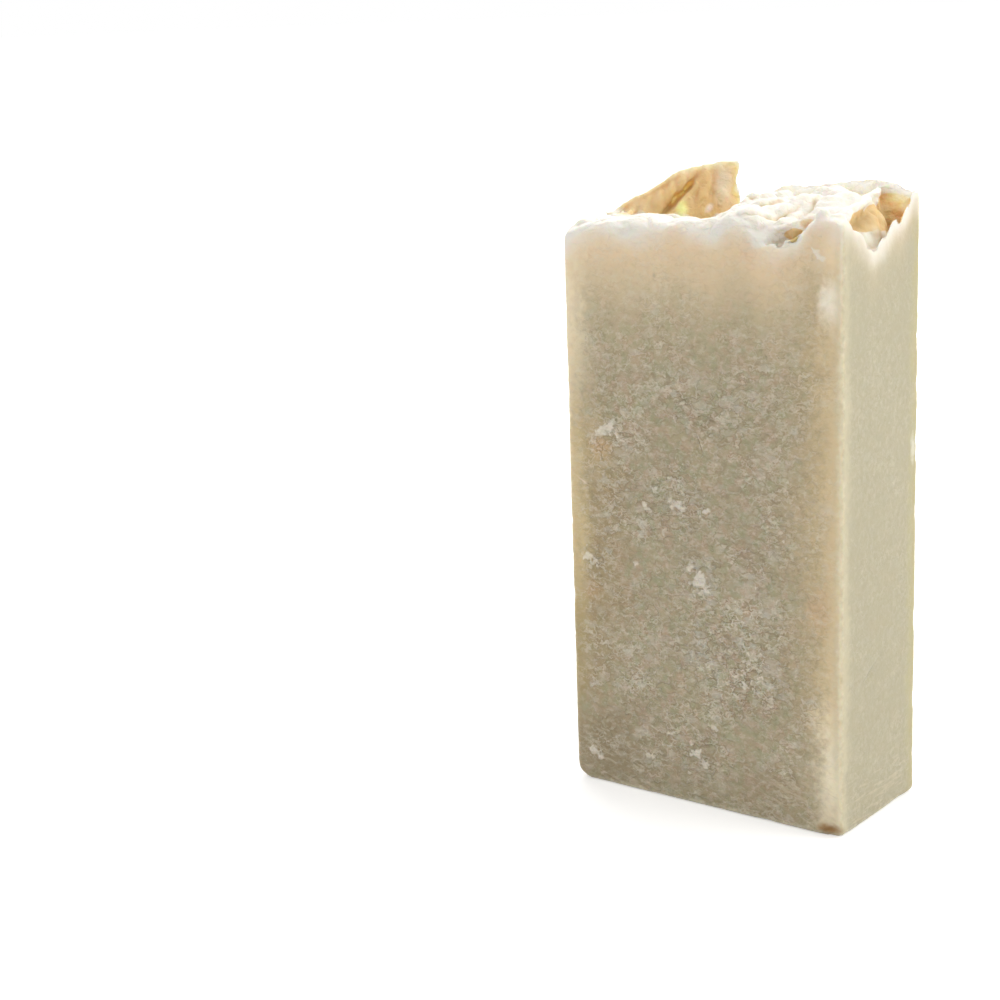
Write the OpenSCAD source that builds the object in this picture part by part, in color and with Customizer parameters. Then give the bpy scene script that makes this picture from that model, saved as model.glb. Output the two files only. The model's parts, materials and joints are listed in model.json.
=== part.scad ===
/* [Bar] */
// Width of the broad faces that the wire cuts
bar_w = 50; // [44:1:62]
// Thickness from one wire cut to the next
bar_t = 25; // [22:1:32]
// Height of the even part of the bar, below the rough top
body_h = 88; // [60:1:120]
// Round that the mould leaves along the two bottom edges
mould_r = 2.6; // [1:0.2:5]
// Softening of the edges round each wire cut
cut_r = 0.9; // [0.4:0.1:1.6]

/* [Rough top] */
// Depth of the floor between the lumps, over the even part
floor_h = 1.2; // [0.5:0.1:2.5]
// Height of the highest folds in the middle, over the even part
lump_h = 10; // [8:0.2:12]
// Rise of the folds that ring each lump
fold_rise = 0.9; // [0:0.1:1.4]
// Width of one ringing fold
fold_w = 2.6; // [2:0.1:4]
// How far the lumps' outlines stray from plain ovals
stray = 0.7; // [0:0.1:1.2]
// Height of the tallest standing sheet, over the even part
wave_h = 12.8; // [9:0.2:16]
// Thickness of a standing sheet of soap at its foot
sheet_foot = 3.4; // [2.4:0.1:5]
// Thickness of the walls round the pocket at their foot
wall_foot = 3.0; // [2.4:0.1:4]
// Thickness of the lips round the slit at their foot
lip_foot_t = 2.2; // [1.6:0.1:3]
// Thickness of a thin crown, which lets light through
thin_crown = 1.1; // [0.8:0.1:2]
// Thickness of a petal's blunter crown
petal_crown = 1.6; // [1:0.1:2.4]
// Thickness of the blunt edge that hangs over the pocket
brow_edge = 2.6; // [1.6:0.1:3.4]
// Depth of the ruffles in a standing sheet
ruffle = 0.9; // [0:0.1:1.4]
// Radius of a small bud of soap
bud_r = 1.0; // [0.6:0.1:1.6]
// Radius of the widest pit
pit_r = 1.1; // [0.6:0.1:1.2]

/* [Chip] */
// Width of the chip that broke off the near bottom corner
chip_w = 4.6; // [2:0.2:7]
// Height of the chip
chip_h = 2.4; // [1:0.1:4]
// Depth of the chip, back from the broad face
chip_d = 1.5; // [0.8:0.1:3]
// Depth of the chip where it feathers out
chip_edge = 0.3; // [0.2:0.1:0.6]

/* [Hidden] */

// Cell of the lumpy surface
cell = 0.9;
// Cells of a standing sheet, along it and up it
sheet_step = 0.8;
sheet_rise = 1.7;
// The top is drawn past the bar's sides, and the cuts trim it
trim = 4;
// Share of its width that the chip keeps at its full height and depth
chip_share = 0.3;
// Sides of the small round forms
round_sides = 14;
// The block is drawn as thin slices, and this is one slice's thickness
slice = 0.01;

// A place on the top: percent of the half width, of the half thickness, and of a height over the body
function at(p, rise) = [p[0] / 100 * bar_w / 2, p[1] / 100 * bar_t / 2, body_h + p[2] / 100 * rise];
function unit(v) = v / norm(v);
function mix(a, b, t) = a + (b - a) * t;

// The lumps are laid out on a plan twice as long as deep, in hundredths of the half thickness,
// and the plan stretches to the bar
function plan(x, y) = [x / bar_w * 400, y / bar_t * 200];
function on_plan(length) = length / bar_t * 200;

// Lumps of thick soap: place across and back in percent, top in percent of lump_h, half length
// and half breadth on the plan, turn in degrees, and how strongly folds ring it
lumps = [
    [-104, -78, 26, 43, 40, 0, 0.2],
    [-76, -68, 56, 80, 42, 4, 0.4],
    [-40, -70, 62, 72, 38, -4, 0.5],
    [-9, -72, 61, 70, 38, 3, 0.4],
    [8, -76, 64, 50, 36, 0, 0.2],
    [25, -66, 79, 53, 42, 18, 0.5],
    [52, -54, 60, 51, 22, 42, 0.6],
    [72, -56, 64, 40, 16, 40, 0.5],
    [88, -86, 71, 43, 37, -35, 0.7],
    [98, -58, 50, 27, 24, -60, 0.4],
    [38, -30, 78, 62, 26, 40, 0.8],
    [26, -2, 86, 69, 27, 38, 0.8],
    [48, 14, 92, 51, 34, 55, 0.8],
    [12, 32, 88, 64, 29, 34, 0.9],
    [8, 74, 86, 56, 35, 14, 0.8],
    [44, 72, 98, 59, 35, -4, 0.8],
    [67, 28, 92, 66, 41, 74, 0.4],
    [-12, -22, 52, 46, 42, 20, 1.0],
    [-50, -18, 48, 46, 40, -25, 1.0],
    [-84, -26, 46, 37, 38, 50, 1.0],
    [-22, 36, 40, 42, 34, 60, 1.0],
    [-86, 54, 60, 46, 38, 45, 1.2],
    [-60, 92, 56, 46, 32, 10, 1.0],
    [-18, 92, 54, 37, 29, 0, 1.0],
    [72, -10, 79, 58, 36, 78, 0.4],
    [80, -6, 24, 24, 19, 30, 0.8],
    [80, 100, 72, 51, 19, 0, 0.6]
];

// The height that lump f gives at a place of the plan, or the floor where it doesn't reach
function lump_height(f, p) =
    let (
        dx = p[0] - 2 * f[0],
        dy = p[1] - f[1],
        along = (dx * cos(f[5]) + dy * sin(f[5])) / f[3],
        across = (dy * cos(f[5]) - dx * sin(f[5])) / f[4],
        out = sqrt(along * along + across * across)
    )
    out >= 1 ? floor_h :
    let (
        top = f[2] / 100 * lump_h,
        rings = max(f[3], f[4]) / on_plan(fold_w),
        wind = atan2(across, along) / 360,
        ridge = f[6] * fold_rise * (abs(sin(180 * (out * rings + wind))) - 0.7) * min(1, out * 2.5)
    )
    floor_h + (top - floor_h) * sqrt(1 - out * out) + ridge * (1 - out * out);

// The lumps' outlines stray in two waves: a long one and a short one, in degrees per step of the plan
long_wave = 3.4;
short_wave = 6;
function strayed(p) = p + on_plan(stray) * [
    sin(p[1] * long_wave + p[0]) + 0.4 * sin(p[0] * short_wave - p[1] * 2.6),
    sin(p[0] * long_wave - p[1] * 1.4 + 60) + 0.4 * cos(p[1] * short_wave + p[0] * 2)
];
function top_height(x, y) =
    let (p = strayed(plan(x, y)))
    body_h + max([for (f = lumps) lump_height(f, p)]);

// The closed skin of a grid of points, rows by columns, joined round its rim to a second grid
function skin_faces(rows, cols) =
    let (count = rows * cols)
    concat(
        [for (i = [0:rows - 2]) for (j = [0:cols - 2])
            let (a = i * cols + j) [a, a + 1, a + cols + 1, a + cols]],
        [for (i = [0:rows - 2]) for (j = [0:cols - 2])
            let (a = count + i * cols + j) [a, a + cols, a + cols + 1, a + 1]],
        [for (i = [0:rows - 2]) let (a = i * cols, b = a + cols) [a, b, b + count, a + count]],
        [for (i = [0:rows - 2]) let (a = i * cols + cols - 1, b = a + cols) [b, a, a + count, b + count]],
        [for (j = [0:cols - 2]) [j + 1, j, j + count, j + 1 + count]],
        [for (j = [0:cols - 2]) let (a = (rows - 1) * cols + j) [a, a + 1, a + 1 + count, a + count]]
    );

// The poured soap: a block whose upper face is all lumps and creases
module poured_body() {
    nx = ceil((bar_w + 2 * trim) / cell);
    ny = ceil((bar_t + 2 * trim) / cell);
    plan = [
        for (i = [0:nx]) for (j = [0:ny])
            [(i / nx - 0.5) * (bar_w + 2 * trim), (j / ny - 0.5) * (bar_t + 2 * trim)]
    ];
    upper = [for (p = plan) [p[0], p[1], top_height(p[0], p[1])]];
    lower = [for (p = plan) [p[0], p[1], -trim]];
    polyhedron(concat(upper, lower), skin_faces(nx + 1, ny + 1));
}

// A smooth curve through hand-set stations, at a place s from 0 to 1 along it
function pick(list, i) = list[max(0, min(len(list) - 1, i))];
function through(a, b, c, d, t) =
    0.5 * (2 * b + (c - a) * t + (2 * a - 5 * b + 4 * c - d) * t * t + (3 * b - a - 3 * c + d) * t * t * t);
function along_path(stations, s) =
    let (
        last = len(stations) - 1,
        i = min(floor(s * last), last - 1),
        t = s * last - i
    )
    through(pick(stations, i - 1), pick(stations, i), pick(stations, i + 1), pick(stations, i + 2), t);

function path_length(p, i = 0) = i >= len(p) - 1 ? 0 : norm(p[i + 1] - p[i]) + path_length(p, i + 1);

// A standing sheet of soap from its foot line up to its crown line, with ruffles that fan over.
// Rise is the height that the crown line's percents are of, and lean is the share of the sheet's
// length by which the first ruffle has moved along at the crown.
module standing_sheet(foot_line, crown_line, rise, ruffles, lean, foot_t, crown_t) {
    feet = [for (p = foot_line) at(p, rise)];
    crowns = [for (p = crown_line) at(p, rise)];
    steps = ceil(path_length(feet) / sheet_step);
    rows = ceil(max([for (i = [0:len(feet) - 1]) crowns[i][2] - feet[i][2]]) / sheet_rise);
    function middle(s, t) =
        let (
            run = unit(along_path(feet, min(1, s + 0.02)) - along_path(feet, max(0, s - 0.02))),
            out = unit(cross(run, [0, 0, 1])),
            fan = (s - lean * t) / (1 - lean * t),
            wave = ruffle * (abs(sin(180 * fan * ruffles)) - 0.6) * min(1, t * 1.6)
        )
        [mix(along_path(feet, s), along_path(crowns, s), t) + out * wave, out];
    function face(turn) = [
        for (i = [0:steps]) for (j = [0:rows])
            let (
                s = i / steps,
                t = j / rows,
                m = middle(s, t),
                end = sqrt(max(0.05, 1 - pow(abs(2 * s - 1), 8))),
                thick = mix(foot_t, crown_t, sqrt(t)) * end * (j == rows ? 0.5 : 1)
            )
            m[0] + m[1] * turn * thick / 2
    ];
    polyhedron(concat(face(1), face(-1)), skin_faces(steps + 1, rows + 1));
}

// The tall wave at the back left, from the left wall to the back cut
wave_foot = [[-130, -34, 0], [-103, 0, 0], [-77, 34, 0], [-51, 70, 0], [-23, 116, 0]];
wave_crown = [[-106, -8, 50], [-82, 30, 68], [-62, 58, 91], [-41, 90, 100], [-9, 136, 100]];

// The thin wall that closes the pocket at the right, scalloped along its crown
right_foot = [[100, -18, 0], [100, 20, 0], [100, 60, 0], [100, 114, 0]];
right_crown = [[102, -16, 20], [101, 18, 50], [101, 54, 64], [100, 78, 92], [100, 114, 84]];

// The thin wall at the back right
back_foot = [[112, 98, 0], [90, 98, 0], [60, 98, 0], [26, 98, 0], [0, 98, 0], [-22, 98, 0]];
back_crown = [[112, 98, 60], [92, 98, 93], [68, 98, 108], [30, 98, 96], [2, 98, 92], [-20, 98, 56]];

// The edge of the middle mass that hangs over the pocket
brow_foot = [[72, -58, 0], [64, -22, 0], [58, 14, 0], [60, 56, 0], [62, 96, 0]];
brow_crown = [[86, -58, 64], [85, -24, 76], [82, 16, 82], [77, 48, 88], [74, 88, 94]];

// The lip in front of the slit, and the edge that hangs behind the slit
lip_foot = [[36, -104, 0], [54, -104, 0], [70, -102, 0], [88, -98, 0]];
lip_crown = [[38, -96, 24], [54, -92, 32], [68, -90, 48], [84, -88, 72]];
ledge_foot = [[40, -66, 0], [56, -60, 0], [72, -52, 0], [86, -44, 0]];
ledge_crown = [[34, -84, 44], [54, -76, 54], [68, -68, 68], [84, -56, 74]];

// Petals of soap that curl round the lumps
petals = [
    [[[-84, -40, 0], [-62, 16, 0], [-36, 12, 0], [-32, -30, 0]],
     [[-80, -38, 52], [-62, 8, 54], [-42, 6, 50], [-36, -26, 46]]],
    [[[-6, -46, 0], [10, -20, 0], [4, 24, 0], [-20, 36, 0]],
     [[-4, -42, 60], [6, -18, 66], [0, 14, 64], [-20, 24, 50]]],
    [[[-104, 24, 0], [-82, 26, 0], [-64, 60, 0], [-70, 100, 0]],
     [[-104, 34, 60], [-86, 36, 70], [-72, 62, 72], [-76, 100, 62]]]
];

// Small buds: place, then the step to the bud's tip
buds = [
    [[84, -88, 71], [1, 2, 4]],
    [[91, -82, 67], [2, 2, 3]],
    [[98, -34, 8], [0, 6, 5]],
    [[-88, -6, 42], [4, 8, 6]],
    [[-8, 58, 56], [5, 8, 6]]
];

// Deep pits and slits: from one end to the other, and the share of the widest pit's radius
pits = [
    [[57, -87, 29], [65, -78, 38], 1],
    [[-38, -34, 47], [-30, 6, 45], 0.9],
    [[-60, -24, 48], [-50, 2, 42], 0.7],
    [[-22, -6, 54], [-10, -14, 46], 0.7],
    [[-88, 58, 58], [-80, 78, 50], 0.7],
    [[28, 36, 76], [38, 56, 76], 0.9]
];

module pit(from, to, share) {
    hull() {
        translate(at(from, lump_h)) sphere(pit_r * share, $fn = round_sides);
        translate(at(to, lump_h)) sphere(pit_r * share, $fn = round_sides);
    }
}

module bud(place, step) {
    hull() {
        translate(at(place, lump_h)) sphere(bud_r, $fn = round_sides);
        translate(at(place + step, lump_h)) sphere(bud_r * 0.7, $fn = round_sides);
    }
}

// The bar's outline from the front: the mould rounds its two bottom corners
module front_outline(inset) {
    full_h = body_h + wave_h + trim;
    offset(delta = -inset) hull() {
        for (side = [-1, 1]) translate([side * (bar_w / 2 - mould_r), mould_r]) circle(mould_r, $fn = 48);
        translate([-bar_w / 2, mould_r]) square([bar_w, full_h - mould_r]);
    }
}

// The block that the mould walls and the two wire cuts leave
module cut_block() {
    steps = 4;
    hull() for (side = [-1, 1]) for (k = [0:steps])
        let (a = 90 * k / steps)
        translate([0, side * (bar_t / 2 - slice / 2 - cut_r * (1 - cos(a))), 0])
        rotate([90, 0, 0])
        linear_extrude(slice, center = true)
        front_outline(cut_r * (1 - sin(a)));
}

// The chip that broke off the near bottom corner
module corner_chip() {
    translate([bar_w / 2, -bar_t / 2, 0]) hull() {
        translate([-chip_w, -trim, -trim])
            cube([chip_w + trim, trim + chip_edge, trim + chip_edge]);
        translate([-chip_w * chip_share, -trim, -trim])
            cube([chip_w * chip_share + trim, trim + chip_edge, trim + chip_h]);
        translate([-chip_w * chip_share, -trim, -trim])
            cube([chip_w * chip_share + trim, trim + chip_d, trim + chip_edge]);
    }
}

module folded_top() {
    standing_sheet(wave_foot, wave_crown, wave_h, 8, 0.5, sheet_foot, thin_crown);
    standing_sheet(right_foot, right_crown, lump_h, 4, 0.1, wall_foot, thin_crown);
    standing_sheet(back_foot, back_crown, lump_h, 5, -0.1, wall_foot, thin_crown);
    standing_sheet(brow_foot, brow_crown, lump_h, 3, 0.2, sheet_foot, brow_edge);
    standing_sheet(lip_foot, lip_crown, lump_h, 3, 0.1, lip_foot_t, thin_crown);
    standing_sheet(ledge_foot, ledge_crown, lump_h, 3, 0.1, lip_foot_t, thin_crown);
    for (p = petals) standing_sheet(p[0], p[1], lump_h, 3, 0.1, sheet_foot, petal_crown);
    for (b = buds) bud(b[0], b[1]);
}

module soap_bar() {
    color("#b9ab88") difference() {
        intersection() {
            cut_block();
            union() {
                poured_body();
                folded_top();
            }
        }
        for (p = pits) pit(p[0], p[1], p[2]);
        corner_chip();
    }
}

soap_bar();
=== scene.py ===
import json
import math

import bmesh
import bpy
import numpy as np
from mathutils import Matrix, Vector, noise
from mathutils.bvhtree import BVHTree

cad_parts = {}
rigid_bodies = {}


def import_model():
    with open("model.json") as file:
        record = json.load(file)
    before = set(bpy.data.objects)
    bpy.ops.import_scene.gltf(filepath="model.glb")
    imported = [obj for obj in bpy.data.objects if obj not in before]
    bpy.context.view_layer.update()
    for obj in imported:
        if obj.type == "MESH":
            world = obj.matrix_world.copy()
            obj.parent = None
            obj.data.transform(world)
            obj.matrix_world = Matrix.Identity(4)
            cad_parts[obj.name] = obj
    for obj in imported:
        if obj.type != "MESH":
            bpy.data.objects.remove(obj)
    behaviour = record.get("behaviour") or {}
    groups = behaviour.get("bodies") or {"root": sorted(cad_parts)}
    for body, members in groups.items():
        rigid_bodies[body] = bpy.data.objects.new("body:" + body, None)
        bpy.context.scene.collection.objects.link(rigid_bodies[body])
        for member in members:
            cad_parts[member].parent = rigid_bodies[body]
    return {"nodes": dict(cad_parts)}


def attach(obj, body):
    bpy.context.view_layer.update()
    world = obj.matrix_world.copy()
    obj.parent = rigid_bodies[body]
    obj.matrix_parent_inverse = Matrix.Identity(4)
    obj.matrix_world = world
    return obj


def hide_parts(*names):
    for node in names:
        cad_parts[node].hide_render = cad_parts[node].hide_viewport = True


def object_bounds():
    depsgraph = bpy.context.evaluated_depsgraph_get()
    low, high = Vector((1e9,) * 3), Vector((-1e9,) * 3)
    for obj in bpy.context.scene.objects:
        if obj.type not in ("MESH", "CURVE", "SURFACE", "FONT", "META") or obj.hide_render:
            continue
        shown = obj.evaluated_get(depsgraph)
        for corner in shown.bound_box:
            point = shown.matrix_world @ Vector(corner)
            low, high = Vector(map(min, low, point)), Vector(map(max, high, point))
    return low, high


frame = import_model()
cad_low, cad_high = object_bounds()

# Studio: a white sweep with a broad soft lamp high at the back right, a weaker one in front on the left,
# and a camera a little above the bar that looks at its near right edge.
scene = bpy.context.scene
scene.view_settings.view_transform = "Standard"

camera = bpy.data.objects.new("camera", bpy.data.cameras.new("camera"))
scene.collection.objects.link(camera)
scene.camera = camera
camera.data.lens = 72
camera.data.sensor_width = 36
camera.data.clip_start = 0.01
look = Vector((-0.60441, 0.76125, -0.23492)).normalized()
level = look.cross(Vector((0, 0, 1))).normalized()
upright = level.cross(look)
tilt = math.radians(-2.15)
camera_right = math.cos(tilt) * level + math.sin(tilt) * upright
camera_up = math.cos(tilt) * upright - math.sin(tilt) * level
stand_at = Vector((0.16334, -0.26759, 0.12491))
camera.matrix_world = Matrix.Translation(stand_at) @ Matrix((camera_right, camera_up, -look)).transposed().to_4x4()


def soft_lamp(name, place, size, watts, tint, aim=(0, 0, 0.05)):
    """A square soft box that faces the bar."""
    lamp = bpy.data.objects.new(name, bpy.data.lights.new(name, "AREA"))
    scene.collection.objects.link(lamp)
    lamp.data.shape = "SQUARE"
    lamp.data.size = size
    lamp.data.energy = watts
    lamp.data.color = tint
    lamp.location = place
    lamp.rotation_euler = (Vector(aim) - Vector(place)).to_track_quat("-Z", "Y").to_euler()
    return lamp


soft_lamp("back_right_lamp", (0.45, 0.22, 0.42), 0.45, 2.6, (1.0, 1.0, 0.97))
soft_lamp("back_left_lamp", (-0.40, 0.42, 0.45), 0.45, 2.2, (1.0, 0.99, 0.96))
soft_lamp("top_lamp", (-0.05, 0.05, 0.70), 0.5, 0.8, (1.0, 0.99, 0.97))
soft_lamp("front_lamp", (-0.25, -0.55, 0.60), 0.5, 1.9, (1.0, 0.99, 0.97))


def link(tree, source, target):
    tree.links.new(source, target)


def seen_directly(tree):
    """One where a ray comes from the camera, a mirror or glass."""
    path = tree.nodes.new("ShaderNodeLightPath")
    either = tree.nodes.new("ShaderNodeMath")
    either.operation = "MAXIMUM"
    link(tree, path.outputs["Is Camera Ray"], either.inputs[0])
    link(tree, path.outputs["Is Glossy Ray"], either.inputs[1])
    any_ray = tree.nodes.new("ShaderNodeMath")
    any_ray.operation = "MAXIMUM"
    link(tree, either.outputs[0], any_ray.inputs[0])
    link(tree, path.outputs["Is Transmission Ray"], any_ray.inputs[1])
    return any_ray.outputs[0]


world = bpy.data.worlds.new("white_room")
scene.world = world
world.use_nodes = True
tree = world.node_tree
tree.nodes.clear()
fill = tree.nodes.new("ShaderNodeBackground")
fill.inputs["Color"].default_value = (0.97, 0.98, 1.0, 1)
fill.inputs["Strength"].default_value = 0.40
shown = tree.nodes.new("ShaderNodeBackground")
shown.inputs["Color"].default_value = (1, 1, 1, 1)
shown.inputs["Strength"].default_value = 1.0
blend = tree.nodes.new("ShaderNodeMixShader")
world_out = tree.nodes.new("ShaderNodeOutputWorld")
link(tree, seen_directly(tree), blend.inputs[0])
link(tree, fill.outputs[0], blend.inputs[1])
link(tree, shown.outputs[0], blend.inputs[2])
link(tree, blend.outputs[0], world_out.inputs["Surface"])

floor_mesh = bpy.data.meshes.new("floor")
floor_mesh.from_pydata([(-60, -60, 0), (60, -60, 0), (60, 60, 0), (-60, 60, 0)], [], [(0, 1, 2, 3)])
floor = bpy.data.objects.new("floor", floor_mesh)
scene.collection.objects.link(floor)
paper = bpy.data.materials.new("white_paper")
paper.use_nodes = True
tree = paper.node_tree
tree.nodes.clear()
matt = tree.nodes.new("ShaderNodeBsdfDiffuse")
matt.inputs["Color"].default_value = (0.82, 0.82, 0.82, 1)
lift = tree.nodes.new("ShaderNodeEmission")
lift.inputs["Color"].default_value = (1, 1, 1, 1)
floor_place = tree.nodes.new("ShaderNodeTexCoord")
from_bar = tree.nodes.new("ShaderNodeVectorMath")
from_bar.operation = "LENGTH"
link(tree, floor_place.outputs["Object"], from_bar.inputs[0])
fade = tree.nodes.new("ShaderNodeMapRange")
fade.interpolation_type = "SMOOTHSTEP"
link(tree, from_bar.outputs["Value"], fade.inputs["Value"])
fade.inputs["From Min"].default_value = 0.10
fade.inputs["From Max"].default_value = 0.45
fade.inputs["To Min"].default_value = 0.40
fade.inputs["To Max"].default_value = 1.0
link(tree, fade.outputs["Result"], lift.inputs["Strength"])
bright = tree.nodes.new("ShaderNodeAddShader")
pick = tree.nodes.new("ShaderNodeMixShader")
paper_out = tree.nodes.new("ShaderNodeOutputMaterial")
link(tree, matt.outputs[0], bright.inputs[0])
link(tree, lift.outputs[0], bright.inputs[1])
link(tree, seen_directly(tree), pick.inputs[0])
link(tree, matt.outputs[0], pick.inputs[1])
link(tree, bright.outputs[0], pick.inputs[2])
link(tree, pick.outputs[0], paper_out.inputs["Surface"])
floor_mesh.materials.append(paper)

# The bar of soap: one casting of cold-process soap, cut from a loaf with a wire. Its broad faces are the
# wire cuts, its narrow sides and base lay against the mould, and its top was whipped up with a spoon.
MM = 1000.0
SKIN_CELL = 0.3
TOP_FROM = 86.0
HALF_WIDTH = 25.0
HALF_DEPTH = 12.5


def merged_copy(cad_object):
    """The CAD solid as one closed skin, in millimetres."""
    skin = bmesh.new()
    skin.from_mesh(cad_object.data)
    bmesh.ops.scale(skin, vec=(MM, MM, MM), verts=skin.verts)
    bmesh.ops.remove_doubles(skin, verts=skin.verts, dist=0.002)
    mesh = bpy.data.meshes.new("soap_work")
    skin.to_mesh(mesh)
    skin.free()
    return mesh


def applied(mesh, kind, **settings):
    """The mesh after one modifier."""
    holder = bpy.data.objects.new("holder", mesh)
    scene.collection.objects.link(holder)
    step = holder.modifiers.new("step", kind)
    for name, value in settings.items():
        if name == "inputs":
            sockets = {s.name: s.identifier for s in step.node_group.interface.items_tree if s.item_type == "SOCKET"}
            for title, amount in value.items():
                step[sockets[title]] = amount
        else:
            setattr(step, name, value)
    result = bpy.data.meshes.new_from_object(holder.evaluated_get(bpy.context.evaluated_depsgraph_get()))
    bpy.data.objects.remove(holder)
    return result


def points_of(mesh):
    flat = np.empty(len(mesh.vertices) * 3, dtype=np.float32)
    mesh.vertices.foreach_get("co", flat)
    return flat.reshape(-1, 3).astype(np.float64)


def normals_of(mesh):
    flat = np.empty(len(mesh.vertices) * 3, dtype=np.float32)
    mesh.vertices.foreach_get("normal", flat)
    return flat.reshape(-1, 3).astype(np.float64)


def set_points(mesh, points):
    mesh.vertices.foreach_set("co", points.astype(np.float32).ravel())
    mesh.update()


def ramp(value, low, high):
    """Zero below low, one above high, and a smooth step between."""
    t = np.clip((value - low) / (high - low), 0, 1)
    return t * t * (3 - 2 * t)


def smoothed(mesh, weight, rounds, back):
    """Points eased towards their neighbours and then back, which keeps the volume."""
    points = points_of(mesh)
    edges = np.empty(len(mesh.edges) * 2, dtype=np.int32)
    mesh.edges.foreach_get("vertices", edges)
    a, b = edges.reshape(-1, 2).T
    count = len(points)
    valence = np.bincount(a, minlength=count) + np.bincount(b, minlength=count)
    for _ in range(rounds):
        for pull in (0.55, back):
            mean = np.stack([
                np.bincount(a, weights=points[b, k], minlength=count)
                + np.bincount(b, weights=points[a, k], minlength=count)
                for k in range(3)
            ], axis=1) / valence[:, None]
            points += (mean - points) * (pull * weight)[:, None]
    return points


def inset_of(points):
    """How far each point lies in from the wire cuts and from the mould walls."""
    return HALF_DEPTH - np.abs(points[:, 1]), HALF_WIDTH - np.abs(points[:, 0])


def pools(points, places):
    """One inside any of the ellipsoids and zero outside them: centre, reach and strength of each."""
    field = np.zeros(len(points))
    for centre, reach, strength in places:
        away = np.linalg.norm((points - np.array(centre)) / np.array(reach), axis=1)
        field = np.maximum(field, strength * (1 - ramp(away, 0.7, 1.15)))
    return field


wave_place = (
    ((-22.5, 1.2, 95.0), (3.8, 3.6, 2.6), 1.0),
    ((-17.8, 5.2, 96.4), (4.6, 4.2, 4.6), 1.0),
    ((-12.5, 9.0, 96.6), (4.4, 4.4, 5.4), 1.0),
    ((-8.8, 11.5, 96.8), (2.8, 3.4, 5.4), 1.0),
)
skin = merged_copy(frame["nodes"]["soap_bar"])
skin = applied(skin, "REMESH", mode="VOXEL", voxel_size=SKIN_CELL)
points = points_of(skin)
in_top = ramp(points[:, 2], TOP_FROM - 1, TOP_FROM + 3)
inset = np.minimum(*inset_of(points))
on_wave = pools(points, wave_place)
set_points(skin, smoothed(skin, in_top * ramp(inset, 0.05, 0.5), 10, -0.56))
set_points(skin, smoothed(skin, on_wave * ramp(inset, 0.05, 0.8), 45, -0.56))
set_points(skin, smoothed(skin, in_top * (1 - on_wave) * (1 - ramp(inset, 0.6, 1.8)) * 0.8, 6, 0.0))

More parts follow.
